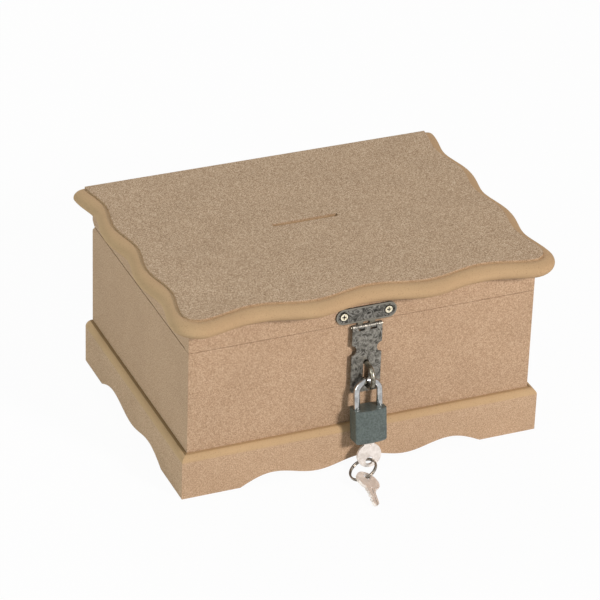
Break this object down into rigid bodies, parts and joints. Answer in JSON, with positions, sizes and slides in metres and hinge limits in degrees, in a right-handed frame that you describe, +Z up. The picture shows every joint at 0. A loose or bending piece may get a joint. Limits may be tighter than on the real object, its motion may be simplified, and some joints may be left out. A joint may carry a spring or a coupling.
{
  "type": "money box",
  "caption": "Raw MDF money box on a scalloped plinth, with a hinged lid that has a coin slot and wavy moulded edge, closed by a hasp, staple and small padlock with keys",
  "frame": {"origin": "on the floor, under the middle of the four walls", "axes": "+X to the right along the front, +Y to the back, +Z up; the hasp and padlock are on the -Y side"},
  "size_m": [0.2246, 0.2007, 0.1135],
  "materials": {
    "mdf_face": "raw fibreboard, sanded",
    "mdf_moulding": "raw fibreboard, machined edge",
    "antique_pewter": "antique, dull",
    "hinge_steel": "plated, dull",
    "brass_screw": "bright",
    "case_enamel": "satin",
    "shackle_chrome": "polished",
    "spring_steel": "bright",
    "key_nickel": "nickel, stamped"
  },
  "bodies": {
    "box": {"front_panel": "mdf_face", "back_panel": "mdf_face", "left_panel": "mdf_face", "right_panel": "mdf_face", "bottom_panel": "mdf_face", "plinth_front": "mdf_moulding", "plinth_left": "mdf_moulding", "plinth_right": "mdf_moulding", "hinge_left_box_leaf": "hinge_steel", "hinge_right_box_leaf": "hinge_steel", "hinge_left_pin": "hinge_steel", "hinge_right_pin": "hinge_steel", "hinge_screws_box": "hinge_steel", "staple": "antique_pewter"},
    "lid": {"lid_top": "mdf_moulding", "lid_rim_front": "mdf_face", "lid_rim_back": "mdf_face", "lid_rim_left": "mdf_face", "lid_rim_right": "mdf_face", "hinge_left_lid_leaf": "hinge_steel", "hinge_right_lid_leaf": "hinge_steel", "hinge_screws_lid": "hinge_steel", "hasp_plate": "antique_pewter", "hasp_screws": "brass_screw", "hasp_pin": "antique_pewter"},
    "strap": {"hasp_strap": "antique_pewter"},
    "padlock": {"padlock_case": "case_enamel", "driver_pins": "brass_screw", "pin_springs": "spring_steel", "bolt_spring": "spring_steel", "shackle_spring": "spring_steel"},
    "shackle": {"shackle": "shackle_chrome"},
    "bolt": {"locking_bolt": "spring_steel"},
    "key": {"lock_plug": "brass_screw", "key_pins": "brass_screw", "key_in_lock": "key_nickel"},
    "ring": {"key_ring": "spring_steel"},
    "spare": {"spare_key": "key_nickel"}
  },
  "joints": [
    {"name": "lid_hinge", "type": "hinge", "parent": "box", "child": "lid", "pos_m": [0, 0.07495, 0.0883], "axis": [-1, 0, 0], "range_deg": [0, 100]},
    {"name": "hasp_swing", "type": "hinge", "parent": "lid", "child": "strap", "pos_m": [0.0006, -0.07735, 0.0866], "axis": [1, 0, 0], "range_deg": [0, 60]},
    {"name": "padlock_swing", "type": "hinge", "parent": "box", "child": "padlock", "pos_m": [0.0006, -0.082, 0.05475], "axis": [-1, 0, 0], "range_deg": [0, 80]},
    {"name": "key_turn", "type": "hinge", "parent": "padlock", "child": "key", "pos_m": [0.0006, -0.082, 0.05475], "axis": [0, 0.1305, 0.9914], "range_deg": [0, 90]},
    {"name": "shackle_rise", "type": "slide", "parent": "padlock", "child": "shackle", "axis": [0, 0.1305, 0.9914], "range_m": [0, 0.0042], "deforming": ["shackle_spring"]},
    {"name": "bolt_slide", "type": "slide", "parent": "padlock", "child": "bolt", "axis": [1, 0, 0], "range_m": [0, 0.002], "deforming": ["bolt_spring"]},
    {"name": "ring_swing", "type": "hinge", "parent": "key", "child": "ring", "pos_m": [0.0006, -0.08829, 0.00696], "axis": [0, 0.9914, -0.1305], "range_deg": [0, 60]},
    {"name": "spare_key_swing", "type": "hinge", "parent": "ring", "child": "spare", "pos_m": [-0.00597, -0.1002, 0.00428], "axis": [0.4231, -0.174, 0.8892], "range_deg": [-25, 25]}
  ],
  "couplings": [
    {"joint": "hasp_swing", "follows": "lid_hinge", "ratio": 0.6},
    {"joint": "shackle_rise", "follows": "key_turn", "m_per_rad": 0.002674},
    {"joint": "bolt_slide", "follows": "key_turn", "m_per_rad": 0.00127}
  ]
}
